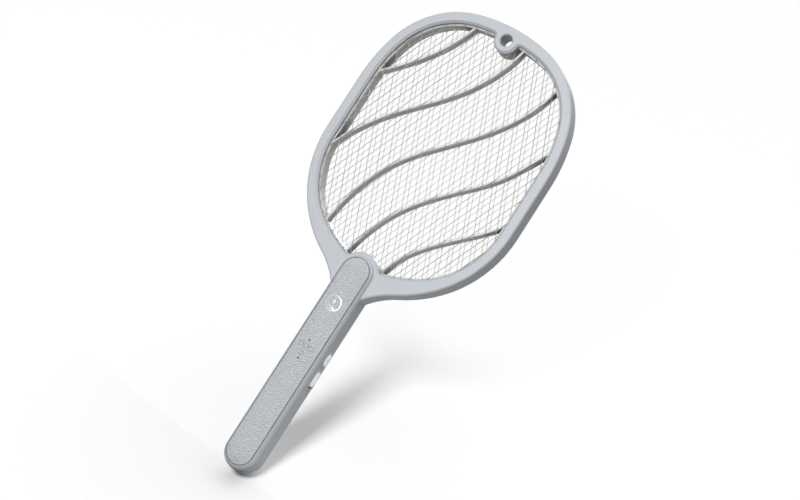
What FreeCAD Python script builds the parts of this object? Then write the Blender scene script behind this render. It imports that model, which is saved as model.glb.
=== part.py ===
import FreeCAD, Part
import math
import os

# Electric fly swatter: a rounded wire-net head on a straight stadium-shaped handle.
# Frame: X to the right, Y to the back, Z up along the handle. The origin is on the handle's
# butt end, in the middle of its width and depth. All lengths are in millimetres.

os.makedirs("parts", exist_ok=True)
V = FreeCAD.Vector

# ---- head outlines: arcs from the axis round to the straight sides ----------------------
# each: half width, then for top and bottom: height on the axis, radii, and the angles
# (degrees turned) at which each radius gives way to the next; the last radius follows
HEAD = dict(half=115.0, top=510.5, top_radii=(177.6, 91.1), top_angles=(13.6, 73.0),
            bottom=212.9, bottom_radii=(95.6, 132.6), bottom_angles=(23.0, 49.0))
OPENING = dict(half=105.6, top=500.0, top_radii=(224.0, 80.0), top_angles=(8.8, 70.0),
               bottom=230.0, bottom_radii=(89.0, 230.0), bottom_angles=(19.0, 25.0))
HEAD_FACE = 10.5            # half thickness of the head
HEAD_ROUND = 2.2            # rounding of the head's outer edges
LIP_BEVEL = 2.1             # bevel round the opening, on the front face
REAR_LIP_BEVEL = 1.0
REAR_LIP_INSET = 3.5
LIP_CORNER = 3.5            # corner radius where the opening meets boss and collar

# ---- handle -----------------------------------------------------------------------------
BODY_HALF = 18.6            # half width, and radius of both round ends
BODY_FRONT = -16.7
BODY_REAR = 15.5
BODY_TOP_CENTRE = 223.6     # height of the centre of the round top end
BODY_FRONT_ROUND = 8.0
BODY_REAR_ROUND = 9.3
WALL = 2.2
CAVITY_FRONT = -11.6
CAVITY_REAR = 13.3
PARTING = 6.5               # plane where the rear shell closes the front shell
PARTING_GAP = 0.05
COLLAR_RADIUS = 22.3        # round end of the handle inside the opening
NECK_START = 27.0           # angle on the head's lower arc where the neck curve begins
NECK_END = 50.0             # angle of the neck curve where it meets the handle

# ---- hanging hole -----------------------------------------------------------------------
HANG_Z = 495.7
HANG_BORE = 6.2
HANG_BOSS = 13.1
HANG_CHAMFER = 1.0

# ---- nets and rib frames ----------------------------------------------------------------
NET_DEPTH = 6.15            # distance of the outer nets from the middle plane
NET_THICK = 0.6
STRAND = 0.7                # width of one net strand
NET_PITCH = 12.17           # strand spacing measured across the head
NET_SLOPE = 0.4516          # sideways run of a strand for each unit of height
NET_EDGE = 2.0              # how far a net reaches under the lips
NET_RIM = 1.3               # solid selvage round a net
NET_PHASE = (3.35, 9.8)     # offsets of the two strand families of the outer nets
HV_PHASE = (1.02, 6.83)     # the middle net is staggered sideways
RIB_WIDTH = 2.8
RIB_OUTER = 5.8
RIB_INNER = 0.35
RIB_ROUND = 1.2
FRAME_OUTSET = 5.6          # rib frame band, outside and inside the opening line
FRAME_INSET = 4.3
POCKET_OUTSET = 5.8
FIT_GAP = 0.2
# centre lines of the five ribs, left end to right end
RIBS = (
    ((-104.0, 406.5), (-82.1, 427.4), (-58.7, 454.3), (-45.9, 474.6), (-35.0, 500.0)),
    ((-103.0, 318.5), (-83.5, 354.1), (-61.2, 380.6), (-14.6, 427.5), (4.3, 454.5),
     (20.5, 498.5)),
    ((-62.0, 248.0), (-50.6, 300.9), (-34.0, 334.0), (1.3, 373.9), (33.9, 407.4),
     (57.9, 441.1), (73.0, 489.0)),
    ((-25.5, 233.0), (-15.8, 267.4), (-2.5, 293.9), (45.2, 347.2), (71.4, 374.0),
     (89.3, 401.2), (102.0, 423.0)),
    ((19.8, 234.0), (25.4, 253.9), (38.6, 273.7), (64.7, 300.3), (104.0, 340.0)),
)

# ---- panel, emblem and indicator lights ---------------------------------------------------
PANEL_HALF = 15.2
PANEL_BOTTOM = 4.7
PANEL_EDGE_Y = -15.2
PANEL_FLOOR_Y = -13.8
PANEL_CROWN = 3.2           # rise of the middle over the edge, along the sides and at the ends
SEAM = 0.3
EMBLEM_Z = 187.3
EMBLEM_RADIUS = 8.3
EMBLEM_LINE = 0.8
EMBLEM_RAISE = 0.2
EMBLEM_SINK = 0.4
LED_Z = (144.8, 124.5)
LED_LENS_RADIUS = 1.2
ICON_Z = 138.1
ICON_LENGTH = 17.4
ICON_HEIGHT = 4.6
ICON_LINE = 0.5
SMALL_ICON_Z = 130.0
SMALL_ICON_LENGTH = 5.4
SMALL_ICON_WIDTH = 3.4
ICON_DEPTH = 0.3

# ---- side controls ------------------------------------------------------------------------
CONTROL_Y = 1.4             # both controls sit a little behind the middle of the side
CONTROL_WIDTH = 9.2
BUTTON_LENGTH = 12.8
SLIDER_LENGTH = 16.2
CONTROL_FACE_X = 19.9
KEY_ROUND = 0.6
BEZEL_FACE_X = 19.3         # raised ring of the shell round each control
BEZEL_MARGIN = 2.2
BEZEL_SLOPE = 0.65
CONTROL_GAP = 0.2
FLANGE_THICK = 1.0
FLANGE_MARGIN = 1.0
BUTTON_Z = 136.9
SLIDER_Z = 114.9            # centre of the knob at the top end of its travel
SLIDER_TRAVEL = 4.0
BUTTON_TRAVEL = 1.0
LEVER_INNER_X = 9.5
PLUNGER_RADIUS = 1.6
PLUNGER_INNER_X = 9.0

# ---- electronics ----------------------------------------------------------------------------
PCB_REAR = -7.6
PCB_THICK = 1.6
PCB_HALF = 13.0
PCB_BOTTOM = 98.0
PCB_TOP = 176.0
CELL_RADIUS = 9.2
CELL_LENGTH = 65.2
CELL_BOTTOM = 28.0
CELL_Y = 0.85
USB_WIDTH = 8.94
USB_HEIGHT = 3.2
USB_DEPTH = 7.3
USB_MOUTH = 0.9
SOLDER_GAP = 0.05
TRANSFORMER_Z = 160.0

# ---- screws ---------------------------------------------------------------------------------
SCREW_RADIUS = 1.1
SCREW_LENGTH = 18.0
SCREW_HEAD_RADIUS = 2.0
SCREW_HEAD_HEIGHT = 1.4
HEAD_SCREW_FLOOR = 8.7
HANDLE_SCREW_FLOOR = 12.8
HANDLE_SCREWS = ((-11.2, 17.0), (11.2, 17.0), (-11.2, 203.0), (11.2, 203.0))
BOSS_RADIUS = 2.9
HEAD_SCREW_OUTSET = 3.8


def box(x0, x1, y0, y1, z0, z1):
    """Axis-aligned block between two corners."""
    return Part.makeBox(x1 - x0, y1 - y0, z1 - z0, V(x0, y0, z0))


def rod(radius, start, end):
    """Round bar between two points."""
    axis = end - start
    return Part.makeCylinder(radius, axis.Length, start, axis)


def plate(wire, y_from, y_to):
    """Thick plate from a flat outline drawn at y = 0."""
    solid = Part.Face(wire).extrude(V(0, y_to - y_from, 0))
    solid.translate(V(0, y_from, 0))
    return solid


def circle_wire(x, z, radius):
    """Circle made of two arcs, with its joints straight above and below the centre."""
    top, bottom = V(x, 0, z + radius), V(x, 0, z - radius)
    right, left = V(x + radius, 0, z), V(x - radius, 0, z)
    return Part.Wire([Part.Arc(top, right, bottom).toShape(), Part.Arc(bottom, left, top).toShape()])


def disc(x, z, radius, y_from, y_to):
    """Round plate across the depth."""
    return plate(circle_wire(x, z, radius), y_from, y_to)


def stadium_wire(radius, z_low, z_high):
    """Upright outline with round ends, centred on the axis."""
    low, high = z_low + radius, z_high - radius
    return Part.Wire([
        Part.makeLine(V(radius, 0, low), V(radius, 0, high)),
        Part.Arc(V(radius, 0, high), V(0, 0, z_high), V(-radius, 0, high)).toShape(),
        Part.makeLine(V(-radius, 0, high), V(-radius, 0, low)),
        Part.Arc(V(-radius, 0, low), V(0, 0, z_low), V(radius, 0, low)).toShape()])


def side_stadium(width, z_low, z_high, x_from, x_to):
    """Round-ended block that points out of the right-hand side of the handle."""
    solid = plate(stadium_wire(width / 2, z_low, z_high), 0, x_to - x_from)
    solid.rotate(V(0, 0, 0), V(0, 0, 1), -90)
    solid.translate(V(x_from, CONTROL_Y, 0))
    return solid


def arc_chain(spec, end, inset, start_angle=0.0):
    """Right-hand arcs of an outline from the axis round to the straight side."""
    up = 1 if end == "top" else -1
    radii, turns = spec[end + "_radii"], spec[end + "_angles"]
    angles = [0.0] + [math.radians(turn) for turn in turns] + [math.pi / 2]
    start = math.radians(start_angle)
    run = sum(r * (math.sin(angles[i + 1]) - math.sin(angles[i])) for i, r in enumerate(radii))
    last = (spec["half"] - run) / (1 - math.sin(angles[-2]))
    x, z = 0.0, spec[end] - up * inset
    arcs = []
    for i, full_radius in enumerate(radii + (last,)):
        radius = full_radius - inset
        a0, a1 = angles[i], angles[i + 1]
        centre = V(x - radius * math.sin(a0), 0, z - up * radius * math.cos(a0))
        x, z = centre.x + radius * math.sin(a1), centre.z + up * radius * math.cos(a1)
        if a1 > start:
            arcs.append((centre, radius, max(a0, start), a1))
    return up, arcs


def arc_point(up, arc, angle):
    centre, radius = arc[0], arc[1]
    return V(centre.x + radius * math.sin(angle), 0, centre.z + up * radius * math.cos(angle))


def chain_edges(up, arcs):
    return [Part.Arc(*[arc_point(up, arc, a) for a in (arc[2], (arc[2] + arc[3]) / 2, arc[3])]).toShape()
            for arc in arcs]


def mirrored(edges):
    return edges + [edge.mirror(V(0, 0, 0), V(1, 0, 0)) for edge in edges]


def outline_wire(spec, inset=0.0):
    """Closed symmetrical outline, moved inward by the inset."""
    up, top = arc_chain(spec, "top", inset)
    down, bottom = arc_chain(spec, "bottom", inset)
    side = Part.makeLine(arc_point(up, top[-1], math.pi / 2), arc_point(down, bottom[-1], math.pi / 2))
    edges = mirrored(chain_edges(up, top) + [side] + chain_edges(down, bottom))
    return Part.Wire(Part.__sortEdges__(edges))


def outline_point(spec, end, turn, outset):
    """Point on an outline where it has turned by the given angle."""
    up, arcs = arc_chain(spec, end, -outset, turn)
    return arc_point(up, arcs[0], math.radians(turn))


def head_and_neck_wire():
    """Outer outline of the head, running down through the neck curves to the handle."""
    up, top = arc_chain(HEAD, "top", 0)
    down, bottom = arc_chain(HEAD, "bottom", 0, NECK_START)
    a0, a1 = math.radians(NECK_START), math.radians(NECK_END)
    start = arc_point(down, bottom[0], a0)
    foot_x = BODY_HALF - 0.5
    radius = (start.x - foot_x) / (math.sin(a1) - math.sin(a0))
    neck = [V(start.x - radius * (math.sin(a) - math.sin(a0)), 0,
              start.z - radius * (math.cos(a0) - math.cos(a))) for a in (a0, (a0 + a1) / 2, a1)]
    side = Part.makeLine(arc_point(up, top[-1], math.pi / 2), arc_point(down, bottom[-1], math.pi / 2))
    right = chain_edges(up, top) + [side] + chain_edges(down, bottom) + [Part.Arc(*neck).toShape()]
    foot = Part.makeLine(neck[2], V(-neck[2].x, 0, neck[2].z))
    return Part.Wire(Part.__sortEdges__(mirrored(right) + [foot]))


def edges_where(shape, test):
    return [edge for edge in shape.Edges if test(edge)]


def flat_at(edge, y):
    return all(abs(v.Point.y - y) < 1e-4 for v in edge.Vertexes)


def flat_across(edge, x):
    return all(abs(v.Point.x - x) < 1e-4 for v in edge.Vertexes)


def through_opening(inset, y_from, y_to):
    """Block that fills the opening, notched by the hanging boss and the handle collar."""
    block = plate(outline_wire(OPENING, inset), y_from, y_to)
    block = block.cut(disc(0, BODY_TOP_CENTRE, COLLAR_RADIUS, y_from, y_to))
    block = block.cut(disc(0, HANG_Z, HANG_BOSS, y_from, y_to))

    def is_corner(edge):
        a, b = edge.Vertexes[0].Point, edge.Vertexes[-1].Point
        on_boss = abs(math.hypot(a.x, a.z - HANG_Z) - HANG_BOSS) < 0.01
        on_collar = abs(math.hypot(a.x, a.z - BODY_TOP_CENTRE) - COLLAR_RADIUS) < 0.01
        return abs(a.x) > 5 and abs(a.y - b.y) > 1 and (on_boss or on_collar)

    return block.makeFillet(LIP_CORNER, edges_where(block, is_corner))


def head_form():
    """Solid head plate with the opening and the hanging hole cut through it."""
    head = plate(head_and_neck_wire(), -HEAD_FACE, HEAD_FACE)
    low = min(v.Point.z for v in head.Vertexes)
    rims = edges_where(head, lambda e: (flat_at(e, -HEAD_FACE) or flat_at(e, HEAD_FACE))
                       and e.CenterOfMass.z > low + 1)
    head = head.makeFillet(HEAD_ROUND, rims)
    head = head.cut(through_opening(LIP_BEVEL, -HEAD_FACE - 1, PARTING))
    head = head.cut(through_opening(REAR_LIP_INSET, PARTING, HEAD_FACE + 1))
    head = head.cut(disc(0, HANG_Z, HANG_BORE, -HEAD_FACE - 1, HEAD_FACE + 1))

    def inside(edge):
        p = edge.CenterOfMass
        return math.hypot(p.x / OPENING["half"], (p.z - 365) / 138) < 1.0

    front = edges_where(head, lambda e: flat_at(e, -HEAD_FACE) and inside(e) and not on_bore(e))
    head = head.makeChamfer(LIP_BEVEL, front)
    back = edges_where(head, lambda e: flat_at(e, HEAD_FACE) and inside(e) and not on_bore(e))
    head = head.makeChamfer(REAR_LIP_BEVEL, back)
    lips = edges_where(head, lambda e: on_bore(e) and (flat_at(e, -HEAD_FACE) or flat_at(e, HEAD_FACE)))
    return head.makeChamfer(HANG_CHAMFER, lips)


def on_bore(edge):
    return all(abs(math.hypot(v.Point.x, v.Point.z - HANG_Z) - HANG_BORE) < 0.01 for v in edge.Vertexes)


def handle_form():
    """Solid handle: a stadium with soft front and rear edges."""
    top = BODY_TOP_CENTRE + BODY_HALF
    body = plate(stadium_wire(BODY_HALF, 0, top), BODY_FRONT, BODY_REAR)
    body = body.makeFillet(BODY_FRONT_ROUND, edges_where(body, lambda e: flat_at(e, BODY_FRONT)))
    return body.makeFillet(BODY_REAR_ROUND, edges_where(body, lambda e: flat_at(e, BODY_REAR)))


def handle_cavity():
    inner = BODY_HALF - WALL
    top = BODY_TOP_CENTRE + inner
    room = plate(stadium_wire(inner, WALL, top), CAVITY_FRONT, CAVITY_REAR)
    rear = edges_where(room, lambda e: flat_at(e, CAVITY_REAR))
    return room.makeFillet(BODY_REAR_ROUND - WALL, rear)


def net_pocket():
    """Room in the head for the nets and the rib frames."""
    room = plate(outline_wire(OPENING, -POCKET_OUTSET), -NET_DEPTH - NET_THICK / 2 - PARTING_GAP, PARTING)
    room = room.cut(disc(0, BODY_TOP_CENTRE, COLLAR_RADIUS, -HEAD_FACE, HEAD_FACE))
    return room.cut(disc(0, HANG_Z, HANG_BOSS, -HEAD_FACE, HEAD_FACE))


def head_screw_points():
    """Screw positions round the head, outside the nets."""
    side = OPENING["half"] + HEAD_SCREW_OUTSET
    right = [V(side, 0, 365), outline_point(OPENING, "top", 45, HEAD_SCREW_OUTSET),
             outline_point(OPENING, "bottom", 52, HEAD_SCREW_OUTSET)]
    return [V(sign * p.x, 0, p.z) for p in right for sign in (-1, 1)]


def screw_sites():
    """Every screw as (x, z, seat depth)."""
    head = [(p.x, p.z, HEAD_SCREW_FLOOR) for p in head_screw_points()]
    return head + [(x, z, HANDLE_SCREW_FLOOR) for x, z in HANDLE_SCREWS]


def contact_slots():
    """Slots in the collar for the three contact strips."""
    return [box(x - 1.2, x + 1.2, y - 0.5, y + 0.5, 236, 250) for x, y in contact_sites()]


def contact_sites():
    """Contact strips as (x, middle y): front net, middle net, rear net."""
    behind = NET_THICK / 2 + SOLDER_GAP + 0.2
    return ((-6.0, -NET_DEPTH + behind), (0.0, behind), (6.0, NET_DEPTH - behind))


def control_spans():
    """Lowest and highest point that each control reaches: push button, slider."""
    return ((BUTTON_Z - BUTTON_LENGTH / 2, BUTTON_Z + BUTTON_LENGTH / 2),
            (SLIDER_Z - SLIDER_LENGTH / 2 - SLIDER_TRAVEL, SLIDER_Z + SLIDER_LENGTH / 2))


def control_bezels():
    """Raised rings round the controls, still without their openings."""
    bezels = []
    for low, high in control_spans():
        pad = side_stadium(CONTROL_WIDTH + 2 * BEZEL_MARGIN, low - BEZEL_MARGIN, high + BEZEL_MARGIN,
                           BODY_HALF - WALL + 0.2, BEZEL_FACE_X)
        bezels.append(pad.makeChamfer(BEZEL_SLOPE, edges_where(pad, lambda e: flat_across(e, BEZEL_FACE_X))))
    return bezels


def control_openings():
    """Through slots for the push button and the slider."""
    return [side_stadium(CONTROL_WIDTH + 2 * CONTROL_GAP, low - CONTROL_GAP, high + CONTROL_GAP,
                         BODY_HALF - WALL - 1, BEZEL_FACE_X + 1) for low, high in control_spans()]


def usb_outline(width, height, z_from, z_to):
    """Flat-oval block along the handle axis, for the charging socket."""
    radius = height / 2
    core = box(-width / 2 + radius, width / 2 - radius, -radius, radius, z_from, z_to)
    ends = [Part.makeCylinder(radius, z_to - z_from, V(x, 0, z_from))
            for x in (radius - width / 2, width / 2 - radius)]
    return core.fuse(ends).removeSplitter()


def case_form():
    """Both shells in one piece: outside shape, cavities, bosses and openings."""
    outside = head_form().fuse(handle_form())
    hollow = outside.cut([handle_cavity(), net_pocket()])
    posts = [rod(BOSS_RADIUS, V(x, CAVITY_FRONT - 0.5, z), V(x, CAVITY_REAR + 0.5, z))
             for x, z in HANDLE_SCREWS]
    posts += [rod(2.0, V(x, CAVITY_FRONT - 0.5, z), V(x, PCB_REAR - PCB_THICK - SOLDER_GAP, z))
              for x in (-10.5, 10.5) for z in (PCB_BOTTOM + 3, PCB_TOP - 3)]
    cradles = [box(-BODY_HALF + 1, BODY_HALF - 1, CAVITY_FRONT - 0.5, CELL_Y - 3, z, z + 1.6)
               .cut(rod(CELL_RADIUS + 0.15, V(0, CELL_Y, z - 1), V(0, CELL_Y, z + 3))) for z in (40.0, 80.0)]
    case = hollow.fuse(posts + cradles + control_bezels())
    room_wire = stadium_wire(PANEL_HALF + SEAM, PANEL_BOTTOM - SEAM, BODY_TOP_CENTRE + PANEL_HALF + SEAM)
    panel_room = plate(room_wire, BODY_FRONT - 1, PANEL_FLOOR_Y)
    cuts = [panel_room, usb_outline(USB_WIDTH + 0.4, USB_HEIGHT + 0.4, -1, WALL + 2)]
    cuts += contact_slots() + control_openings()
    cuts += [rod(LED_LENS_RADIUS + 0.05, V(0, PANEL_FLOOR_Y - 1, z), V(0, CAVITY_FRONT + 1, z))
             for z in LED_Z]
    for x, z, floor in screw_sites():
        cuts.append(rod(SCREW_HEAD_RADIUS + 0.25, V(x, floor, z), V(x, floor + 8, z)))
        cuts.append(rod(SCREW_RADIUS + 0.2, V(x, PARTING, z), V(x, floor + 1, z)))
        cuts.append(rod(SCREW_RADIUS + 0.02, V(x, floor - SCREW_LENGTH - 0.2, z), V(x, PARTING + 0.1, z)))
    return case.cut(cuts)


def split_case(case):
    """Front and rear shells either side of the parting plane."""
    size = 700
    front = case.common(box(-size, size, -size, PARTING, -size, size))
    rear = case.common(box(-size, size, PARTING + PARTING_GAP, size, -size, size))
    return front, rear


def net(phases, y):
    """Flat diamond net: a sheet with clipped diamonds cut out, leaving a narrow selvage."""
    def trimmed(outset):
        face = Part.Face(outline_wire(OPENING, -outset))
        clear = NET_EDGE - outset
        collar = Part.Face(circle_wire(0, BODY_TOP_CENTRE, COLLAR_RADIUS + 0.5 + clear))
        boss = Part.Face(circle_wire(0, HANG_Z, HANG_BOSS + 0.5 + clear))
        return face.cut([collar, boss])

    sheet = trimmed(NET_EDGE)
    window = trimmed(NET_EDGE - NET_RIM)
    # a strand is STRAND wide at right angles, so wider when measured level across the head
    level = STRAND * math.sqrt(1 + NET_SLOPE ** 2)
    half_x = (NET_PITCH - level) / 2
    half_z = half_x / NET_SLOPE
    count = int((OPENING["half"] + NET_SLOPE * OPENING["top"]) / NET_PITCH) + 2
    holes = []
    for i in range(count):
        for j in range(count):
            rising = phases[0] + NET_PITCH * (i - 0.5)
            falling = phases[1] - NET_PITCH * (j - 0.5)
            x, z = (rising + falling) / 2, (rising - falling) / 2 / NET_SLOPE
            corners = [V(x + half_x, 0, z), V(x, 0, z + half_z), V(x - half_x, 0, z), V(x, 0, z - half_z)]
            if abs(x) < HEAD["half"] and HEAD["bottom"] < z < HEAD["top"]:
                holes.append(Part.Face(Part.makePolygon(corners + corners[:1])))
    clipped = Part.makeCompound(holes).common(window)
    solid = sheet.cut(clipped).extrude(V(0, NET_THICK, 0))
    solid.translate(V(0, y - NET_THICK / 2, 0))
    return max(solid.Solids, key=lambda s: s.Volume)


def ribbon(points, width, y_from, y_to, round_y):
    """Curved rib of constant width along a smooth centre line, rounded on one side."""
    line = Part.BSplineCurve()
    line.interpolate([V(x, 0, z) for x, z in points])
    first, last = line.FirstParameter, line.LastParameter
    steps = 3 * len(points)
    sides = ([], [])
    for i in range(steps + 1):
        u = first + (last - first) * i / steps
        tangent = line.tangent(u)[0]
        normal = V(-tangent.z, 0, tangent.x)
        for side, sign in zip(sides, (1, -1)):
            side.append(line.value(u) + normal * (sign * width / 2))
    curves = []
    for side in sides:
        curve = Part.BSplineCurve()
        curve.interpolate(side)
        curves.append(curve.toShape())
    ends = [Part.makeLine(sides[0][i], sides[1][i]) for i in (0, -1)]
    rib = plate(Part.Wire(Part.__sortEdges__(curves + ends)), y_from, y_to)
    long_edges = edges_where(rib, lambda e: flat_at(e, round_y) and e.Length > width * 2)
    return rib.makeFillet(RIB_ROUND, long_edges)


def rib_frame(y_from, y_to, round_y):
    """Band round the inside of the head carrying the curved ribs."""
    band = plate(outline_wire(OPENING, -FRAME_OUTSET), y_from, y_to)
    band = band.cut(plate(outline_wire(OPENING, FRAME_INSET), y_from - 1, y_to + 1))
    limit = plate(outline_wire(OPENING, -FRAME_OUTSET + 1.0), y_from, y_to)
    ribs = [ribbon(points, RIB_WIDTH, y_from, y_to, round_y).common(limit) for points in RIBS]
    frame = band.fuse(ribs)
    cuts = [disc(0, BODY_TOP_CENTRE, COLLAR_RADIUS + FIT_GAP, y_from - 1, y_to + 1),
            disc(0, HANG_Z, HANG_BOSS + FIT_GAP, y_from - 1, y_to + 1)]
    cuts += [rod(SCREW_RADIUS + 0.2, V(p.x, y_from - 1, p.z), V(p.x, y_to + 1, p.z))
             for p in head_screw_points()]
    frame = frame.cut(cuts)
    return max(frame.Solids, key=lambda s: s.Volume)


def crown(offset=0.0):
    """Large round-ended bar whose surface gives the panel its pillow shape."""
    full = PANEL_HALF ** 2 / (2 * PANEL_CROWN) + PANEL_CROWN / 2
    y = PANEL_EDGE_Y - PANEL_CROWN + full
    radius = full + offset
    low, high = PANEL_BOTTOM + PANEL_HALF, BODY_TOP_CENTRE
    slant = radius * math.sqrt(0.5)
    outline = Part.Wire([
        Part.Arc(V(0, y, low - radius), V(slant, y, low - slant), V(radius, y, low)).toShape(),
        Part.makeLine(V(radius, y, low), V(radius, y, high)),
        Part.Arc(V(radius, y, high), V(slant, y, high + slant), V(0, y, high + radius)).toShape(),
        Part.makeLine(V(0, y, high + radius), V(0, y, low - radius))])
    return Part.Face(outline).revolve(V(0, y, 0), V(0, 0, 1), 360)


def crown_skin(outline, sink, lift):
    """Part of a flat outline that follows the crown, sunk below it and raised above it."""
    block = plate(outline, PANEL_EDGE_Y - 5, PANEL_FLOOR_Y)
    return block.common(crown(lift)).cut(crown(-sink))


def ring_plate(x, z, outer, inner, y_from, y_to):
    return disc(x, z, outer, y_from, y_to).cut(disc(x, z, inner, y_from - 1, y_to + 1))


def bolt_wire():
    """Zigzag flash in the upper part of the emblem."""
    points = [(0.7, 5.4), (-1.7, 1.3), (-0.2, 1.3), (-0.7, -2.0), (1.7, 2.3), (0.2, 2.3)]
    corners = [V(x, 0, EMBLEM_Z + z) for x, z in points]
    return Part.makePolygon(corners + corners[:1])


def emblem(sink, lift):
    """Ring, flash and two ground lines that sit in the panel."""
    y0, y1 = PANEL_EDGE_Y - 5, PANEL_FLOOR_Y
    ring = ring_plate(0, EMBLEM_Z, EMBLEM_RADIUS, EMBLEM_RADIUS - EMBLEM_LINE, y0, y1)
    inside = disc(0, EMBLEM_Z, EMBLEM_RADIUS - 2 * EMBLEM_LINE, y0, y1)
    grounds = [ring_plate(x, EMBLEM_Z - 14, radius, radius - EMBLEM_LINE, y0, y1).common(inside)
               for x, radius in ((-1.5, 10.8), (1.5, 9.0))]
    bands = [band.common(crown(lift)).cut(crown(-sink)) for band in [ring] + grounds]
    return Part.makeCompound(bands + [crown_skin(bolt_wire(), sink, lift)])


def icon_grooves():
    """Shallow grooves of the two generic marks between the lights."""
    grooves = []
    for z, length, height in ((ICON_Z, ICON_LENGTH, ICON_HEIGHT),
                              (SMALL_ICON_Z, SMALL_ICON_WIDTH, SMALL_ICON_LENGTH)):
        for inset in (0.0, ICON_LINE):
            wide, high = length - 2 * inset, height - 2 * inset
            radius = min(wide, high) / 2
            core = stadium_wire(radius, -max(wide, high) / 2, max(wide, high) / 2)
            solid = plate(core, PANEL_EDGE_Y - 5, PANEL_FLOOR_Y)
            if wide > high:
                solid.rotate(V(0, 0, 0), V(0, 1, 0), 90)
            solid.translate(V(0, 0, z))
            grooves.append(solid)
    shapes = [grooves[0].cut(grooves[1]), grooves[2].cut(grooves[3])]
    shapes.append(box(-4.5, -1.5, PANEL_EDGE_Y - 5, PANEL_FLOOR_Y, ICON_Z - 0.5, ICON_Z + 0.5))
    shapes.append(box(1.5, 4.5, PANEL_EDGE_Y - 5, PANEL_FLOOR_Y, ICON_Z - 0.5, ICON_Z + 0.5))
    return [shape.cut(crown(-ICON_DEPTH)) for shape in shapes]


def handle_panel():
    blank = plate(stadium_wire(PANEL_HALF, PANEL_BOTTOM, BODY_TOP_CENTRE + PANEL_HALF),
                  PANEL_EDGE_Y - 5, PANEL_FLOOR_Y - SOLDER_GAP)
    panel = blank.common(crown())
    cuts = icon_grooves() + emblem(EMBLEM_SINK + 0.02, 2.0).Solids
    cuts += [rod(LED_LENS_RADIUS + 0.05, V(0, PANEL_EDGE_Y - 5, z), V(0, PANEL_FLOOR_Y + 1, z))
             for z in LED_Z]
    return panel.cut(cuts)


def led_lens(z):
    front = PANEL_EDGE_Y - PANEL_CROWN
    return rod(LED_LENS_RADIUS, V(0, front - 0.05, z), V(0, CAVITY_FRONT - SOLDER_GAP, z))


def flange_faces():
    outer = BODY_HALF - WALL - 0.15
    return outer - FLANGE_THICK, outer


def control_knob(z, length):
    """Round-ended key with a retaining flange behind the wall."""
    inner_x, outer_x = flange_faces()
    half = length / 2
    key = side_stadium(CONTROL_WIDTH, z - half, z + half, outer_x - 0.2, CONTROL_FACE_X)
    key = key.makeFillet(KEY_ROUND, edges_where(key, lambda e: flat_across(e, CONTROL_FACE_X)))
    reach = half + FLANGE_MARGIN
    flange = side_stadium(CONTROL_WIDTH + 2 * FLANGE_MARGIN, z - reach, z + reach, inner_x, outer_x)
    return key.fuse(flange).removeSplitter()


def power_slider():
    """Slide knob with grip bars and a socket for the switch lever."""
    knob = control_knob(SLIDER_Z, SLIDER_LENGTH)
    bars = [box(CONTROL_FACE_X - 0.4, CONTROL_FACE_X + 1, CONTROL_Y - 2.8, CONTROL_Y + 2.8,
                SLIDER_Z + dz - 0.4, SLIDER_Z + dz + 0.4) for dz in (-3.2, -1.6, 0.0, 1.6, 3.2)]
    inner_x = flange_faces()[0]
    socket = box(inner_x - 1, inner_x + 1.6, CONTROL_Y - 1.6, CONTROL_Y + 1.6,
                 SLIDER_Z - 1.1, SLIDER_Z + 1.1)
    return knob.cut(bars + [socket])


def dust_shield():
    """Dark sheet behind the slider that closes the slot at every position."""
    inner_x = flange_faces()[0]
    half = SLIDER_LENGTH / 2 + SLIDER_TRAVEL + 0.8
    sheet = box(inner_x - 0.5, inner_x - 0.1, CONTROL_Y - 5.2, CONTROL_Y + 5.2,
                SLIDER_Z - half - SLIDER_TRAVEL, SLIDER_Z + half)
    return sheet.cut(box(inner_x - 1, inner_x + 1, CONTROL_Y - 1.6, CONTROL_Y + 1.6,
                         SLIDER_Z - 1.1, SLIDER_Z + 1.1))


def switch_lever():
    inner_x = flange_faces()[0]
    return box(LEVER_INNER_X, inner_x + 1.5, CONTROL_Y - 1.5, CONTROL_Y + 1.5,
               SLIDER_Z - 1.0, SLIDER_Z + 1.0)


def slide_switch():
    body = box(6.5, 12.2, PCB_REAR + SOLDER_GAP, CONTROL_Y + 2.6, SLIDER_Z - 9.5, SLIDER_Z + 9.5)
    slot = box(LEVER_INNER_X - 0.3, 13, CONTROL_Y - 1.6, CONTROL_Y + 1.6,
               SLIDER_Z - 1.2 - SLIDER_TRAVEL, SLIDER_Z + 1.2)
    return body.cut(slot)


def tact_plunger():
    return rod(PLUNGER_RADIUS, V(PLUNGER_INNER_X, CONTROL_Y, BUTTON_Z),
               V(flange_faces()[0] - 0.05, CONTROL_Y, BUTTON_Z))


def tact_switch():
    body = box(7.0, 12.4, PCB_REAR + SOLDER_GAP, CONTROL_Y + 3.2, BUTTON_Z - 3.2, BUTTON_Z + 3.2)
    bore = rod(PLUNGER_RADIUS + 0.08, V(PLUNGER_INNER_X - BUTTON_TRAVEL - 0.3, CONTROL_Y, BUTTON_Z),
               V(13, CONTROL_Y, BUTTON_Z))
    return body.cut(bore)


def main_pcb():
    board = box(-PCB_HALF, PCB_HALF, PCB_REAR - PCB_THICK, PCB_REAR, PCB_BOTTOM, PCB_TOP)
    corners = edges_where(board, lambda e: abs(e.Vertexes[0].Point.y - e.Vertexes[1].Point.y) > 1)
    return board.makeFillet(1.5, corners)


def status_leds():
    front = PCB_REAR - PCB_THICK - SOLDER_GAP
    return Part.makeCompound([box(-1.0, 1.0, front - 1.6, front, z - 0.8, z + 0.8) for z in LED_Z])


def controller_chips():
    """Two chips and a power transistor on the back of the board."""
    y = PCB_REAR + SOLDER_GAP
    return Part.makeCompound([box(-2.5, 2.5, y, y + 1.6, 143.0, 147.0),
                              box(-10.5, -5.5, y, y + 1.6, 138.0, 142.0),
                              box(-2.4, 2.4, y, y + 3.4, 106.0, 110.2)])


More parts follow.
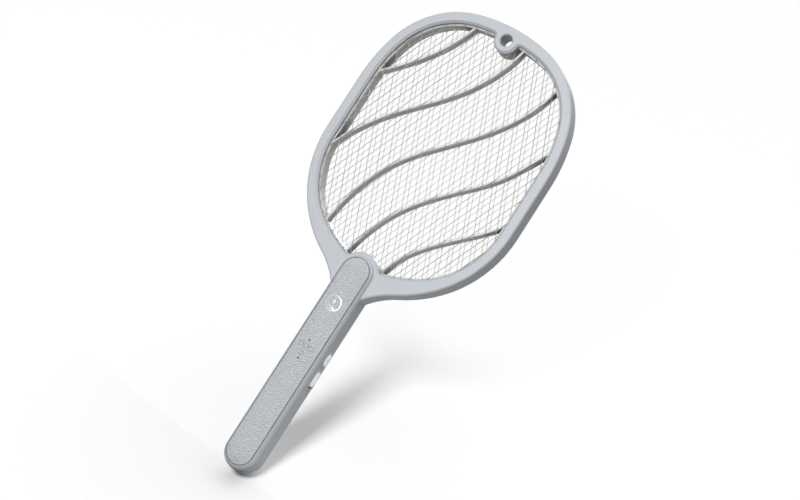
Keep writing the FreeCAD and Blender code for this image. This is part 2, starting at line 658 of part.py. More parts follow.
def transformer_core():
    """Ferrite frame with a centre leg."""
    y0 = PCB_REAR + 2.5
    frame = box(-9, 9, y0, y0 + 8, TRANSFORMER_Z - 8, TRANSFORMER_Z + 8)
    windows = [box(x0, x1, y0 - 1, y0 + 9, TRANSFORMER_Z - 5.5, TRANSFORMER_Z + 5.5)
               for x0, x1 in ((-6.4, -2), (2, 6.4))]
    return frame.cut(windows)


def transformer_coil():
    """Wound bobbin round the centre leg."""
    y0 = PCB_REAR + 2.5
    coil = box(-6.2, 6.2, y0 - 2.3, y0 + 10.3, TRANSFORMER_Z - 5.4, TRANSFORMER_Z + 5.4)
    leg = box(-2.1, 2.1, y0 - 0.1, y0 + 8.1, TRANSFORMER_Z - 6, TRANSFORMER_Z + 6)
    return coil.cut(leg)


def hv_capacitor():
    block = box(-12.4, -5.6, PCB_REAR + SOLDER_GAP, 3.0, 112, 126)
    return block.makeFillet(0.8, block.Edges)


def rectifier_diodes():
    y = PCB_REAR + 1.7
    return Part.makeCompound([rod(1.3, V(x, y, z), V(x, y, z + 5))
                              for x in (-2.5, 2.0) for z in (115, 123, 131)])


def bleed_resistor():
    y = PCB_REAR + 1.7
    return rod(1.2, V(-9, y, 129.5), V(-9, y, 136)).fuse([rod(1.5, V(-9, y, 129.5), V(-9, y, 131)),
                                                          rod(1.5, V(-9, y, 134.5), V(-9, y, 136))])


def battery_cell():
    can = rod(CELL_RADIUS, V(0, CELL_Y, CELL_BOTTOM), V(0, CELL_Y, CELL_BOTTOM + CELL_LENGTH - 1))
    cap = rod(3.0, V(0, CELL_Y, CELL_BOTTOM + CELL_LENGTH - 1.2), V(0, CELL_Y, CELL_BOTTOM + CELL_LENGTH))
    return can.fuse(cap)


def battery_tabs():
    top = CELL_BOTTOM + CELL_LENGTH + SOLDER_GAP
    bottom = CELL_BOTTOM - SOLDER_GAP
    return Part.makeCompound([box(-3.5, 3.5, CELL_Y - 6, CELL_Y + 6, top, top + 0.2),
                              box(-3.5, 3.5, CELL_Y - 6, CELL_Y + 6, bottom - 0.2, bottom)])


def battery_pad():
    return box(-6, 6, CELL_Y + CELL_RADIUS + SOLDER_GAP, CAVITY_REAR - 0.1, 45, 78)


def lead(points, radius):
    """Insulated wire along a smooth path."""
    path = Part.BSplineCurve()
    path.interpolate([V(*point) for point in points])
    start = path.value(path.FirstParameter)
    tangent = path.tangent(path.FirstParameter)[0]
    profile = Part.Wire([Part.Circle(start, tangent, radius).toShape()])
    return Part.Wire([path.toShape()]).makePipeShell([profile], True, True)


def battery_leads():
    red = lead([(3, CELL_Y, 94.5), (5.5, -0.5, 98), (4.5, -4.5, 101.5), (4.0, -6.6, 103.5)], 0.7)
    black = lead([(-3, CELL_Y, 26.8), (-8, 3, 23.8), (-12.2, 6.5, 32), (-12.4, 7, 60), (-12.2, 5.5, 92),
                  (-8.5, -2, 101), (-6.5, -6.5, 104)], 0.7)
    return Part.makeCompound([red, black])


def charge_leads():
    return Part.makeCompound([
        lead([(x0, -0.4, 22.0), (9.5, y - 1.5, 25.5), (12.4, y, 36), (12.4, y, 60), (12.2, y, 90),
              (x1, -3, 98.5), (x1, -6.6, 101.0)], 0.6)
        for x0, y, x1 in ((2.5, 5.2, 11.0), (6.0, 7.2, 8.5))])


def charge_board():
    return box(-8, 8, -2.75, -1.75, 4.6, 22)


def usb_shell():
    outer = usb_outline(USB_WIDTH, USB_HEIGHT, USB_MOUTH, USB_MOUTH + USB_DEPTH)
    bore = usb_outline(USB_WIDTH - 0.6, USB_HEIGHT - 0.6, USB_MOUTH - 1, USB_MOUTH + USB_DEPTH - 0.4)
    return outer.cut(bore)


def usb_tongue():
    return box(-3.3, 3.3, -0.35, 0.35, USB_MOUTH + 0.8, USB_MOUTH + USB_DEPTH - 0.45)


def contact_strips(indices):
    sites = contact_sites()
    return [box(sites[i][0] - 1.0, sites[i][0] + 1.0, sites[i][1] - 0.2, sites[i][1] + 0.2, 230, 248.2)
            for i in indices]


def hv_lead():
    x, y = contact_sites()[1]
    return lead([(-3.5, -6.4, 172.5), (-3.0, -2.5, 182), (-1.5, 0.5, 200), (x, y, 229.5)], 1.0)


def ground_leads():
    front, rear = contact_sites()[0], contact_sites()[2]
    return Part.makeCompound([
        lead([(-7.5, -6.5, 172.5), (-7.5, -5.0, 185), (-6.5, -5.2, 210), (front[0], front[1], 229.5)], 0.7),
        lead([(7.5, -6.5, 172.5), (7.5, -3.0, 185), (6.5, 3.0, 210), (rear[0], rear[1], 229.5)], 0.7)])


def screw(x, z, floor):
    """Self-tapping screw with a cross recess, driven from the back."""
    shank = rod(SCREW_RADIUS, V(x, floor + 0.1, z), V(x, floor - SCREW_LENGTH, z))
    head = rod(SCREW_HEAD_RADIUS, V(x, floor, z), V(x, floor + SCREW_HEAD_HEIGHT, z))
    top = floor + SCREW_HEAD_HEIGHT
    recess = [box(x - 1.1, x + 1.1, top - 0.8, top + 1, z - 0.25, z + 0.25),
              box(x - 0.25, x + 0.25, top - 0.8, top + 1, z - 1.1, z + 1.1)]
    return head.fuse(shank).removeSplitter().cut(recess)


def save(node, shape):
    shape.exportStep("parts/" + node + ".step")


def build():
    front_shell, rear_shell = split_case(case_form())
    save("front_shell", front_shell)
    save("rear_shell", rear_shell)
    save("handle_panel", handle_panel())
    save("emblem", emblem(EMBLEM_SINK, EMBLEM_RAISE))
    save("power_led_lens", led_lens(LED_Z[0]))
    save("charge_led_lens", led_lens(LED_Z[1]))
    save("front_net", net(NET_PHASE, -NET_DEPTH))
    save("hv_net", net(HV_PHASE, 0.0))
    save("rear_net", net(NET_PHASE, NET_DEPTH))
    save("front_rib_frame", rib_frame(-RIB_OUTER, -RIB_INNER, -RIB_OUTER))
    save("rear_rib_frame", rib_frame(RIB_INNER, RIB_OUTER, RIB_OUTER))
    save("zap_button", control_knob(BUTTON_Z, BUTTON_LENGTH))
    save("tact_switch", tact_switch())
    save("tact_plunger", tact_plunger())
    save("power_slider", power_slider())
    save("slider_dust_shield", dust_shield())
    save("slide_switch", slide_switch())
    save("slide_switch_lever", switch_lever())
    save("main_pcb", main_pcb())
    save("status_leds", status_leds())
    save("controller_chips", controller_chips())
    save("transformer_core", transformer_core())
    save("transformer_coil", transformer_coil())
    save("hv_capacitor", hv_capacitor())
    save("rectifier_diodes", rectifier_diodes())
    save("bleed_resistor", bleed_resistor())
    save("battery_cell", battery_cell())
    save("battery_tabs", battery_tabs())
    save("battery_pad", battery_pad())
    save("battery_leads", battery_leads())
    save("charge_leads", charge_leads())
    save("charge_board", charge_board())
    save("usb_port_shell", usb_shell())
    save("usb_port_tongue", usb_tongue())
    save("hv_contact", contact_strips((1,))[0])
    save("ground_contacts", Part.makeCompound(contact_strips((0, 2))))
    save("hv_lead", hv_lead())
    save("ground_leads", ground_leads())
    save("shell_screws", Part.makeCompound([screw(*site) for site in screw_sites()]))


build()
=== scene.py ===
import math

import bpy
import numpy as np
from mathutils import Matrix, Vector


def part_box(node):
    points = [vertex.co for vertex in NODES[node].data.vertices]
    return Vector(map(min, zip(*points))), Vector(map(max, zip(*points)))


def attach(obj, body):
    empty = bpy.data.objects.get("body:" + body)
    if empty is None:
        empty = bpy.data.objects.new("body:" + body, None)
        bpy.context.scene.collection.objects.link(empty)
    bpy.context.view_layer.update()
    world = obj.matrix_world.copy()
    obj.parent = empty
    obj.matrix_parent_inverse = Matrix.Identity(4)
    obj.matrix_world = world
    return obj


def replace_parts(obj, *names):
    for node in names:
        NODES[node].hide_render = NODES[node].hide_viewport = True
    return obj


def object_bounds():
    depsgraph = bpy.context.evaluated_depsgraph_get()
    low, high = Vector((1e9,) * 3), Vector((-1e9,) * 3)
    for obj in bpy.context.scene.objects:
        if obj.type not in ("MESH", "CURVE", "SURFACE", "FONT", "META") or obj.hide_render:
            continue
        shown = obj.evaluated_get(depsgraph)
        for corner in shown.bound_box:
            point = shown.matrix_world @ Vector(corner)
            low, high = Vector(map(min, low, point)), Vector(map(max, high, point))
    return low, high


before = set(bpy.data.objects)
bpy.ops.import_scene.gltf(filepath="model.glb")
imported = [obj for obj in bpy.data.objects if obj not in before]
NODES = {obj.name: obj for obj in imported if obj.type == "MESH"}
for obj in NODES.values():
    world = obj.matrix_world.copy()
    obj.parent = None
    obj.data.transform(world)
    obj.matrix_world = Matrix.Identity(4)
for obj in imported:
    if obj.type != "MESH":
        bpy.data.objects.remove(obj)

# Looks of the electric fly swatter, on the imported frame. Metres; Z up along the handle, the
# front faces -Y and the controls +X.

MM = 0.001
scene = bpy.context.scene
cad_low, cad_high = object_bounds()

# ---- camera ---------------------------------------------------------------------------
CAMERA_PLACE = (0.7068, -1.6156, 0.1781)
CAMERA_YAW = 23.0
CAMERA_PITCH = -2.9
CAMERA_ROLL = 32.7
CAMERA_LENS = 81.0
CAMERA_SENSOR = 36.0
CAMERA_SHIFT = (-0.000625, -0.00125)    # of the picture's centre, as shares of its width
CAMERA_CLIP_END = 20
MAIN_VIEW_REACH = 0.3       # a ray that starts this close to the camera's place is the main camera's

# ---- smooth shading -------------------------------------------------------------------
WELD_REACH = 0.0005 * MM
CRISP_ANGLE = 32.0          # edges sharper than this stay crisp

# ---- nets -----------------------------------------------------------------------------
NET_PITCH = 12.17 * MM      # strand spacing measured across the head
NET_SLOPE = 0.4516          # sideways run of a strand for each unit of height
OUTER_PHASE = (3.35 * MM, 9.8 * MM)     # x of one strand of each family at height 0
INNER_PHASE = (1.02 * MM, 6.83 * MM)
WIRE_RADIUS = 0.25 * MM
WIRE_SIDES = 7
WEAVE = 0.2 * MM            # how far a strand swings in front of and behind the net's plane
KINK = 0.11 * MM            # sideways kink of a strand at each crossing
STEPS_PER_CROSSING = 6      # path points of a strand from one crossing to the next
SHORTEST_STRAND = 3 * MM

# ---- grained panel --------------------------------------------------------------------
PANEL_CROWN = 3.2 * MM
PANEL_EDGE_ROUND = 0.6 * MM
PANEL_COLUMNS = 180         # faces across the panel
PANEL_ROW = 0.2 * MM        # spacing of the rows of faces
MARK_ROW = 0.16 * MM        # and round the marks
END_ROWS = 160              # rows in each round end
END_ANGLE = 88.0
GRAIN_CELL = 1.9 * MM
GRAIN_CLIMB = 0.5           # the wrinkles rise towards the right
GRAIN_DEPTH = 0.55 * MM
FINE_SHARE = 0.55           # depth of the fine wrinkles, as a share of the broad ones
GRAIN_LIFT = 0.3            # how far the grain's tops stand above the crown, as a share
BROAD_SEED = 5
FINE_SEED = 9
SEAM_WIDTH = 0.85 * MM      # painted shade line round the panel, where the gap to the shell lies
GROOVE_DEPTH = 0.3 * MM
GROOVE_LINE = 0.5 * MM
ICON_Z = 138.1 * MM
ICON_SIZE = (17.4 * MM, 4.6 * MM)
SMALL_ICON_Z = 130.0 * MM
SMALL_ICON_SIZE = (3.4 * MM, 5.4 * MM)
ICON_BAR_X = 3.0 * MM
ICON_BAR_SIZE = (3.0 * MM, 1.0 * MM)

# ---- mark on the push button ----------------------------------------------------------
FLASH_OUTLINE = ((0.45, 2.1), (-1.15, -0.25), (-0.15, -0.25), (-0.45, -2.1), (1.15, 0.35), (0.15, 0.35))
FLASH_TOP_SCALE = 0.94
FLASH_SUNK = 0.1 * MM
FLASH_PROUD = 0.08 * MM

# ---- light, directions in the picture are across, up and towards the camera -----------
WORLD_LOW = 0.06            # surroundings away from the bright side of the studio
WORLD_HIGH = 1.15           # and towards it
WORLD_EDGE = 0.2            # cosine at which the bright side begins
WORLD_TOWARD = (0.7, 0.7, -0.1)
BACKDROP_WHITE = 1.05       # surroundings as the camera sees them
KEY_POWER = 108.0
KEY_TOWARD = (-0.27, 0.44, 0.86)
KEY_DISTANCE = 4.0
KEY_SIZE = 1.2
REAR_POWER = 55.0           # soft light on the back, its direction in object space
REAR_TOWARD = (-0.25, 0.93, 0.2)
BOUNCE_POWER = 0.2          # light that the floor throws on the handle's side and the butt
BOUNCE_TOWARD = (0.7, -0.7, -0.1)
BOUNCE_DISTANCE = 0.3
BOUNCE_SIZE = 0.2

# ---- floors ---------------------------------------------------------------------------
FLOOR_REACH = 3.0
FLOOR_WHITE = 1.03
FLOOR_FADE_FROM = 0.08      # distance from the butt at which a floor begins to fade to white
LEVEL_FADE_TO = 1.08        # and at which the level floor has faded
LEVEL_DROP = 0.5 * MM       # the level floor lies this far below the butt
LEVEL_GLOW = 0.25
LEANING_ANGLE = 32.0        # between the leaning floor and the main camera's line of sight
LEANING_FADE_TO = 0.36
LEANING_FADE = 0.85         # how far the leaning floor fades
LEANING_DROP = 1.0 * MM


class Graph:
    """A node material under construction: the principled shader and its helpers."""

    def __init__(self, name):
        self.material = bpy.data.materials.new(name)
        self.material.use_nodes = True
        self.tree = self.material.node_tree
        self.shader = self.tree.nodes["Principled BSDF"]
        self.point = self.node("ShaderNodeTexCoord").outputs["Object"]

    def node(self, kind, **settings):
        """A new node with the given settings."""
        made = self.tree.nodes.new(kind)
        for key, value in settings.items():
            setattr(made, key, value)
        return made

    def feed(self, socket, value):
        """Links an output to a socket, or sets the socket to a plain value."""
        if isinstance(value, bpy.types.NodeSocket):
            self.tree.links.new(value, socket)
        else:
            socket.default_value = value

    def scaled(self, stretch):
        """The object's coordinates, stretched per axis."""
        mapping = self.node("ShaderNodeMapping")
        self.feed(mapping.inputs["Vector"], self.point)
        mapping.inputs["Scale"].default_value = stretch
        return mapping.outputs["Vector"]

    def noise(self, size, detail=3.0, stretch=None):
        """Noise between 0 and 1 with features of the given size in metres."""
        made = self.node("ShaderNodeTexNoise")
        self.feed(made.inputs["Vector"], self.scaled(stretch) if stretch else self.point)
        made.inputs["Scale"].default_value = 1 / size
        made.inputs["Detail"].default_value = detail
        return made.outputs["Fac"]

    def cells(self, size):
        """Distance to the nearest of many points that are the given size apart."""
        made = self.node("ShaderNodeTexVoronoi")
        self.feed(made.inputs["Vector"], self.point)
        made.inputs["Scale"].default_value = 1 / size
        return made.outputs["Distance"]

    def span(self, value, low, high):
        """Maps 0..1 to low..high."""
        made = self.node("ShaderNodeMapRange")
        self.feed(made.inputs["Value"], value)
        made.inputs["To Min"].default_value = low
        made.inputs["To Max"].default_value = high
        return made.outputs["Result"]

    def math(self, operation, a, b=0.0):
        made = self.node("ShaderNodeMath", operation=operation)
        self.feed(made.inputs[0], a)
        self.feed(made.inputs[1], b)
        return made.outputs["Value"]

    def mix(self, amount, a, b):
        """Colour between a and b."""
        made = self.node("ShaderNodeMix", data_type="RGBA")
        self.feed(made.inputs["Factor"], amount)
        for socket, colour in ((made.inputs["A"], a), (made.inputs["B"], b)):
            self.feed(socket, colour if isinstance(colour, bpy.types.NodeSocket) else (*colour, 1.0))
        return made.outputs["Result"]

    def bump(self, height, depth):
        """Normal from a height pattern of the given depth in metres."""
        made = self.node("ShaderNodeBump")
        made.inputs["Distance"].default_value = depth
        self.feed(made.inputs["Height"], height)
        return made.outputs["Normal"]

    def attribute(self, name):
        """Value stored on the mesh."""
        return self.node("ShaderNodeAttribute", attribute_name=name).outputs["Fac"]

    def finish(self, colour, rough, normal, **more):
        """Feeds the principled shader; an underscore in a name stands for a space."""
        self.feed(self.shader.inputs["Base Color"], colour)
        self.feed(self.shader.inputs["Roughness"], rough)
        self.feed(self.shader.inputs["Normal"], normal)
        for key, value in more.items():
            self.feed(self.shader.inputs[key.replace("_", " ")], value)
        return self.material


def shade(colour, factor):
    """The colour made lighter or darker."""
    return tuple(min(1.0, channel * factor) for channel in colour)


def moulded_plastic(name, colour, rough=0.42, depth=0.012 * MM, drift=0.03, glow=0.0):
    """Injection-moulded plastic: slow colour drift, spark-eroded fine texture."""
    g = Graph(name)
    slow = g.noise(38 * MM, 2.0)
    fine = g.noise(0.35 * MM, 4.0)
    tone = g.mix(slow, shade(colour, 1 - drift), shade(colour, 1 + drift))
    tone = g.mix(g.span(fine, 0.0, 0.12), tone, shade(colour, 0.93))
    polish = g.span(g.noise(9 * MM, 3.0), rough - 0.05, rough + 0.06)
    normal = g.bump(fine, depth)
    # glow, where set, is painted light: the plastic gives off its own colour
    g.feed(g.shader.inputs["Emission Color"], tone)
    return g.finish(tone, polish, normal, IOR=1.47, Emission_Strength=glow)


def plastic_with_painted_shade(name, colour, reach, dark):
    """Moulded plastic with painted shade: it darkens in corners and recesses, as far as ambient occlusion
    finds them closed.
    """
    g = Graph(name)
    closed = g.node("ShaderNodeAmbientOcclusion", samples=8)
    closed.inputs["Distance"].default_value = reach
    fine = g.noise(0.5 * MM, 4.0)
    tone = g.mix(g.noise(38 * MM, 2.0), shade(colour, 0.97), shade(colour, 1.03))
    tone = g.mix(g.span(fine, 0.0, 0.12), tone, shade(colour, 0.93))
    # painted shade: the more closed the surroundings, the darker the colour
    open_share = g.math("POWER", closed.outputs["AO"], 1.7)
    tone = g.mix(open_share, shade(colour, dark), tone)
    return g.finish(tone, g.span(fine, 0.31, 0.42), g.bump(fine, 0.012 * MM), IOR=1.47)


def brushed_metal(name, colour, rough=0.3, stretch=(1, 1, 0.05)):
    """Bare metal with fine lines along the stretched axis and faint stains."""
    g = Graph(name)
    lines = g.noise(0.25 * MM, 3.0, stretch)
    stain = g.noise(6 * MM, 3.0)
    tone = g.mix(stain, shade(colour, 0.9), shade(colour, 1.06))
    polish = g.span(lines, rough - 0.08, rough + 0.14)
    return g.finish(tone, polish, g.bump(lines, 0.004 * MM), Metallic=1.0)


def net_wire_metal(name, colour):
    """Drawn, lightly etched steel wire: bright with dull spots."""
    g = Graph(name)
    spots = g.noise(1.6 * MM, 4.0)
    slow = g.noise(30 * MM, 2.0)
    tone = g.mix(spots, shade(colour, 0.86), shade(colour, 1.08))
    tone = g.mix(g.span(slow, 0.0, 0.25), tone, shade(colour, 0.9))
    polish = g.span(spots, 0.34, 0.55)
    return g.finish(tone, polish, g.bump(g.noise(0.12 * MM, 3.0), 0.006 * MM), Metallic=0.35)


def leather_grain(name, colour):
    """Moulded leather look: painted shade in the creases and round the edge, tops slightly polished,
    debossed marks dark.
    """
    g = Graph(name)
    crease = g.attribute("crease")
    marks_and_seam_shade = g.attribute("marks_and_seam_shade")
    slow = g.noise(20 * MM, 3.0)
    tone = g.mix(slow, shade(colour, 0.97), shade(colour, 1.02))
    # painted shade: the creases are darkened
    tone = g.mix(g.math("MULTIPLY", crease, 0.3), tone, shade(colour, 0.5))
    # debossed marks dark, and painted shade of the gap to the shell round the panel's edge
    tone = g.mix(g.math("MULTIPLY", marks_and_seam_shade, 0.95), tone, shade(colour, 0.2))
    polish = g.math("ADD", g.span(g.noise(0.6 * MM, 3.0), 0.46, 0.6), g.math("MULTIPLY", crease, 0.15))
    pores = g.noise(0.22 * MM, 3.0)
    return g.finish(tone, polish, g.bump(pores, 0.014 * MM))


def clear_lens(name, colour, glow):
    """Tinted indicator window with a faceted inside and a faint glow."""
    g = Graph(name)
    depth = g.noise(0.5 * MM, 2.0)
    tone = g.mix(depth, shade(colour, 0.75), colour)
    g.feed(g.shader.inputs["Emission Color"], tone)
    return g.finish(tone, g.span(depth, 0.12, 0.25), g.bump(g.cells(0.35 * MM), 0.01 * MM),
                    Emission_Strength=glow)


def silver_print(name, colour):
    """Fine metallic flake finish of the emblem."""
    g = Graph(name)
    flakes = g.cells(0.12 * MM)
    slow = g.noise(3 * MM, 2.0)
    tone = g.mix(flakes, shade(colour, 0.9), shade(colour, 1.06))
    return g.finish(tone, g.span(slow, 0.28, 0.42), g.bump(flakes, 0.006 * MM), Metallic=0.25)


def board_green(name):
    """Solder-masked board with darker copper areas."""
    g = Graph(name)
    copper = g.cells(3.2 * MM)
    tone = g.mix(g.span(copper, 0.0, 1.0), (0.02, 0.16, 0.07), (0.05, 0.28, 0.12))
    return g.finish(tone, g.span(g.noise(1.5 * MM), 0.25, 0.4), g.bump(copper, 0.02 * MM))


def rough_matter(name, colour, size, depth, rough=0.75, contrast=0.15):
    """Foam, ferrite, tape, sleeve and insulation: one noise drives colour, gloss and relief."""
    g = Graph(name)
    pattern = g.noise(size, 4.0)
    tone = g.mix(pattern, shade(colour, 1 - contrast), shade(colour, 1 + contrast))
    return g.finish(tone, g.span(pattern, rough - 0.1, rough + 0.1), g.bump(pattern, depth))


SHELL = (0.55, 0.58, 0.61)
RIB = (0.86, 0.86, 0.855)
PANEL = (0.615, 0.645, 0.675)
WHITE = (0.90, 0.915, 0.93)

MATERIALS = {
    "shell_grey": moulded_plastic("shell_grey", SHELL),
    # the ribs and their frame carry painted shade in the recesses and towards the head's frame
    "rib_grey": plastic_with_painted_shade("rib_grey", RIB, 13 * MM, 0.2),
    "panel_grain": leather_grain("panel_grain", PANEL),
    "emblem_silver": silver_print("emblem_silver", (0.86, 0.87, 0.88)),
    "net_steel": net_wire_metal("net_steel", (0.50, 0.485, 0.46)),
    # painted light: the white controls glow faintly, so that they stay bright on their shaded side
    "button_white": moulded_plastic("button_white", WHITE, rough=0.35, depth=0.006 * MM, drift=0.015,
                                    glow=0.25),
    "lens_red": clear_lens("lens_red", (0.6, 0.015, 0.02), 0.25),
    "led_package": rough_matter("led_package", (0.8, 0.8, 0.76), 0.4 * MM, 0.01 * MM, 0.4, 0.06),
    "black_plastic": rough_matter("black_plastic", (0.02, 0.02, 0.022), 0.4 * MM, 0.01 * MM, 0.5),
    "board_green": board_green("board_green"),
    "chip_black": rough_matter("chip_black", (0.025, 0.025, 0.027), 0.15 * MM, 0.008 * MM, 0.55),
    "ferrite": rough_matter("ferrite", (0.07, 0.07, 0.075), 0.3 * MM, 0.03 * MM, 0.6),
    "coil_tape": rough_matter("coil_tape", (0.62, 0.45, 0.06), 1.2 * MM, 0.02 * MM, 0.3),
    "capacitor_film": rough_matter("capacitor_film", (0.48, 0.09, 0.04), 2.0 * MM, 0.03 * MM, 0.3),
    "diode_black": rough_matter("diode_black", (0.03, 0.03, 0.03), 0.2 * MM, 0.01 * MM, 0.4),
    "resistor_tan": rough_matter("resistor_tan", (0.62, 0.48, 0.3), 0.5 * MM, 0.02 * MM, 0.5),
    "cell_sleeve": rough_matter("cell_sleeve", (0.05, 0.19, 0.42), 3.0 * MM, 0.02 * MM, 0.28, 0.1),
    "nickel": brushed_metal("nickel", (0.72, 0.7, 0.66)),
    "foam": rough_matter("foam", (0.1, 0.1, 0.11), 0.6 * MM, 0.15 * MM, 0.9, 0.3),
    "wire_red": rough_matter("wire_red", (0.5, 0.02, 0.02), 0.8 * MM, 0.01 * MM, 0.4),
    "wire_white": rough_matter("wire_white", (0.75, 0.75, 0.73), 0.8 * MM, 0.01 * MM, 0.4, 0.05),
    "wire_black": rough_matter("wire_black", (0.02, 0.02, 0.02), 0.8 * MM, 0.01 * MM, 0.4),
    "spring_steel": brushed_metal("spring_steel", (0.6, 0.59, 0.57)),
    "screw_steel": brushed_metal("screw_steel", (0.5, 0.5, 0.52), 0.32, (1, 1, 1)),
}

SLOT_NODES = {
    "shell_grey": ("front_shell", "rear_shell"),
    "rib_grey": ("front_rib_frame", "rear_rib_frame"),
    "panel_grain": ("handle_panel",),
    "emblem_silver": ("emblem",),
    "net_steel": ("front_net", "hv_net", "rear_net"),
    "button_white": ("zap_button", "power_slider"),
    "lens_red": ("power_led_lens", "charge_led_lens"),
    "led_package": ("status_leds",),
    "black_plastic": ("tact_switch", "tact_plunger", "slider_dust_shield", "slide_switch",
                      "slide_switch_lever", "usb_port_tongue"),
    "board_green": ("main_pcb", "charge_board"),
    "chip_black": ("controller_chips",),
    "ferrite": ("transformer_core",),
    "coil_tape": ("transformer_coil",),
    "capacitor_film": ("hv_capacitor",),
    "diode_black": ("rectifier_diodes",),
    "resistor_tan": ("bleed_resistor",),
    "cell_sleeve": ("battery_cell",),
    "nickel": ("battery_tabs", "usb_port_shell"),
    "foam": ("battery_pad",),
    "wire_red": ("battery_leads", "hv_lead"),
    "wire_white": ("charge_leads",),
    "wire_black": ("ground_leads",),
    "spring_steel": ("hv_contact", "ground_contacts"),
    "screw_steel": ("shell_screws",),
}


def smooth_shading(obj):
    """Smooth surfaces with crisp edges, without touching the mesh itself."""
    obj.data.shade_smooth()
    weld = obj.modifiers.new("weld", "WELD")
    weld.merge_threshold = WELD_REACH
    split = obj.modifiers.new("split", "EDGE_SPLIT")
    split.split_angle = math.radians(CRISP_ANGLE)
    split.use_edge_sharp = False
    weight = obj.modifiers.new("weight", "WEIGHTED_NORMAL")
    weight.keep_sharp = True


def paint_frame():
    """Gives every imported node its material."""
    for slot, names in SLOT_NODES.items():
        for name in names:
            obj = NODES[name]
            if not obj.material_slots:
                obj.data.materials.append(MATERIALS[slot])
            for entry in obj.material_slots:
                entry.material = MATERIALS[slot]
            smooth_shading(obj)


def mesh_piece(name, vertices, faces, slot, body="racket", smooth=True):
    """A new visible piece from plain mesh data, riding on a body."""
    mesh = bpy.data.meshes.new(name)
    mesh.from_pydata([tuple(v) for v in vertices], [], faces)
    mesh.validate()
    if smooth:
        mesh.shade_smooth()
    obj = bpy.data.objects.new(name, mesh)
    scene.collection.objects.link(obj)
    mesh.materials.append(MATERIALS[slot])
    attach(obj, body)
    return obj


# ---- nets -----------------------------------------------------------------------------
def outer_loop(node):
    """Outermost edge of a flat net, as points (x, z) in order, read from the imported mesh."""
    mesh = NODES[node].data
    front_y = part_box(node)[0].y

    def key(index):
        point = mesh.vertices[index].co
        return (round(point.x / MM, 3), round(point.z / MM, 3))

    count = {}
    for polygon in mesh.polygons:
        if polygon.normal.y > -0.9 or abs(polygon.center.y - front_y) > 0.05 * MM:
            continue
        ring = list(polygon.vertices)
        for a, b in zip(ring, ring[1:] + ring[:1]):
            edge = frozenset((key(a), key(b)))
            count[edge] = count.get(edge, 0) + 1
    neighbours = {}
    for edge, uses in count.items():
        if uses == 1 and len(edge) == 2:
            a, b = edge
            neighbours.setdefault(a, []).append(b)
            neighbours.setdefault(b, []).append(a)
    start = max(neighbours, key=lambda p: p[1])
    loop, previous, current = [start], None, start
    while True:
        step = [p for p in neighbours[current] if p != previous]
        previous, current = current, step[0]
        if current == start:
            return np.array(loop) * MM
        loop.append(current)


def clipped_spans(loop, start, direction):
    """Where a straight line lies inside a closed loop: pairs of distances along the line."""
    a = loop
    b = np.roll(loop, -1, axis=0)
    side = np.array((-direction[1], direction[0]))
    da, db = (a - start) @ side, (b - start) @ side
    crossing = (da > 0) != (db > 0)
    t = da[crossing] / (da[crossing] - db[crossing])
    points = a[crossing] + (b[crossing] - a[crossing]) * t[:, None]
    cuts = sorted((points - start) @ direction)
    return list(zip(cuts[0::2], cuts[1::2]))


def tube(points, radius, sides):
    """Vertices and faces of a closed round wire along a path that mainly climbs in z."""
    path = np.array(points)
    ahead = np.gradient(path, axis=0)
    ahead /= np.linalg.norm(ahead, axis=1)[:, None]
    across = np.cross(ahead, (0.0, 1.0, 0.0))
    across /= np.linalg.norm(across, axis=1)[:, None]
    deep = np.cross(across, ahead)
    turns = np.arange(sides) * 2 * math.pi / sides
    rings = (path[:, None, :] + radius * (np.cos(turns)[None, :, None] * across[:, None, :]
                                          + np.sin(turns)[None, :, None] * deep[:, None, :]))
    vertices = rings.reshape(-1, 3)
    faces = []
    for i in range(len(path) - 1):
        for k in range(sides):
            n = (k + 1) % sides
            faces.append((i * sides + k, i * sides + n, (i + 1) * sides + n, (i + 1) * sides + k))
    faces.append(tuple(range(sides))[::-1])
    last = (len(path) - 1) * sides
    faces.append(tuple(range(last, last + sides)))
    return vertices, faces


def strand_path(family, index, span, start, direction, y, phase):
    """Points of one strand: it swings over and under the strands of the other family."""
    other = phase[1 - family]
    lean = -1 if family == 0 else 1
    points = []
    step = NET_PITCH / 2 / NET_SLOPE / STEPS_PER_CROSSING
    low_z = start[1] + span[0] * direction[1]
    high_z = start[1] + span[1] * direction[1]
    for z in np.append(np.arange(low_z, high_z, step), high_z):
        x = start[0] + lean * NET_SLOPE * (z - start[1])
        across = (x + lean * NET_SLOPE * z - other) / NET_PITCH
        swing = math.cos(math.pi * across + math.pi * index) * (1 if family == 0 else -1)
        kink = math.cos(2 * math.pi * across) * (1 if index % 2 else -1)
        points.append((x + KINK * kink, y + WEAVE * swing, z))
    return points


def wire_net(name, node, phase):
    """Round woven wires that stand for one flat net of the frame."""
    loop = outer_loop(node)
    low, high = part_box(node)
    y = (low.y + high.y) / 2
    vertices, faces = [], []
    for family, lean in ((0, -1), (1, 1)):
        direction = np.array((lean * NET_SLOPE, 1.0))
        direction /= np.linalg.norm(direction)
        reach = NET_SLOPE * high.z
        first = math.floor((low.x - reach) / NET_PITCH) - 1
        last = math.ceil((high.x + reach) / NET_PITCH) + 1
        for index in range(first, last + 1):
            start = np.array((phase[family] + index * NET_PITCH, 0.0))
            for span in clipped_spans(loop, start, direction):
                if span[1] - span[0] < SHORTEST_STRAND:
                    continue
                path = strand_path(family, index, span, start, direction, y, phase)
                if len(path) < 3:
                    continue
                points, quads = tube(path, WIRE_RADIUS, WIRE_SIDES)
                offset = len(vertices)
                vertices.extend(points)
                faces.extend(tuple(i + offset for i in quad) for quad in quads)
    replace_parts(mesh_piece(name, vertices, faces, "net_steel"), node)


